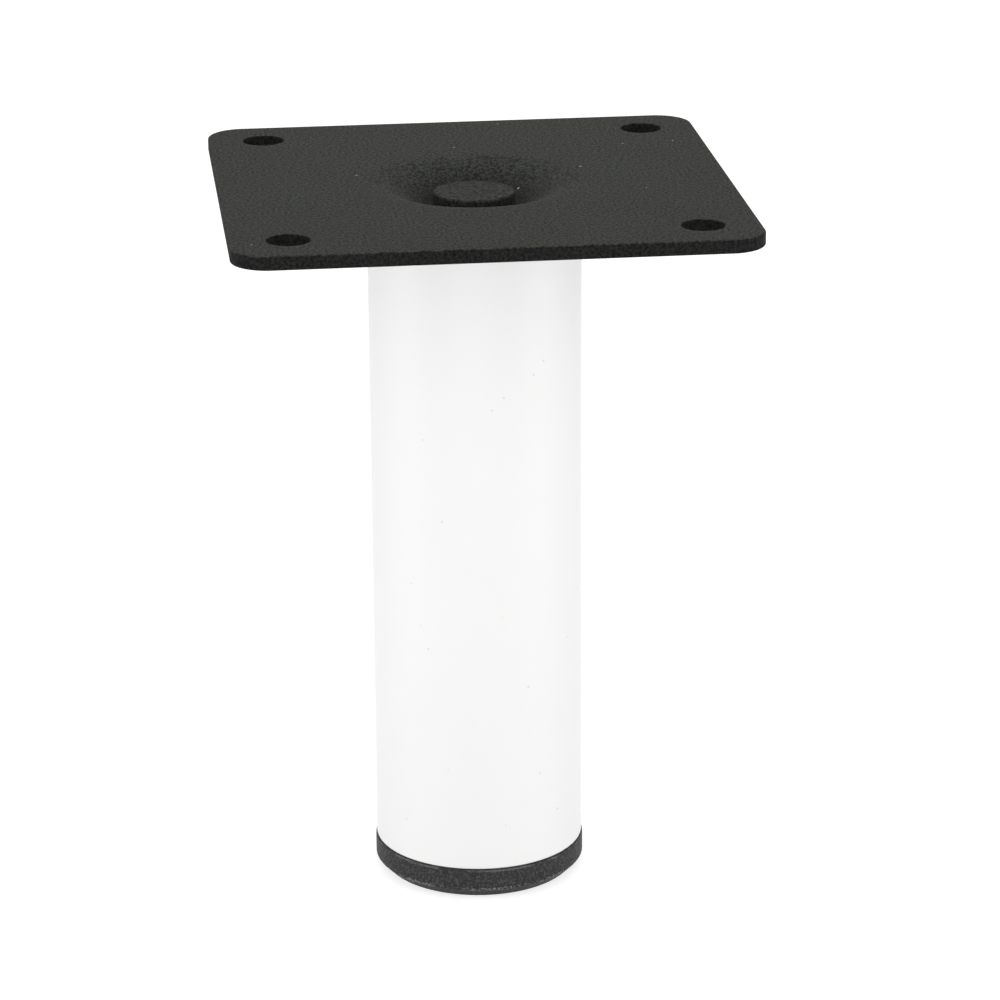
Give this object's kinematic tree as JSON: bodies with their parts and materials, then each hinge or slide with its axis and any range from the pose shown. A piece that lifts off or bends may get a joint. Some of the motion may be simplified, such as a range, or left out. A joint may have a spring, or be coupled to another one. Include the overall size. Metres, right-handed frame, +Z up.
{
  "type": "furniture leg",
  "caption": "Round steel furniture leg with a square dished screw-on plate, a threaded stud fixing and a push-in plastic foot.",
  "frame": {"origin": "centre of the foot's sole, on the floor", "axes": "+Z up along the tube's axis to the mounting face; X and Y parallel to the plate's sides"},
  "size_m": [0.09, 0.09, 0.13],
  "materials": {
    "black_powder_coat": "fine sand-textured black powder coat",
    "white_powder_coat": "smooth satin white powder coat",
    "black_plastic": "moulded black plastic with a light grain",
    "plain_steel": "uncoated steel"
  },
  "bodies": {
    "root": {"mounting_plate": "black_powder_coat", "plate_stud": "black_powder_coat", "leg_tube": "white_powder_coat", "insert_disc": "plain_steel", "weld_nut": "plain_steel", "foot_cap": "black_plastic"}
  },
  "joints": []
}
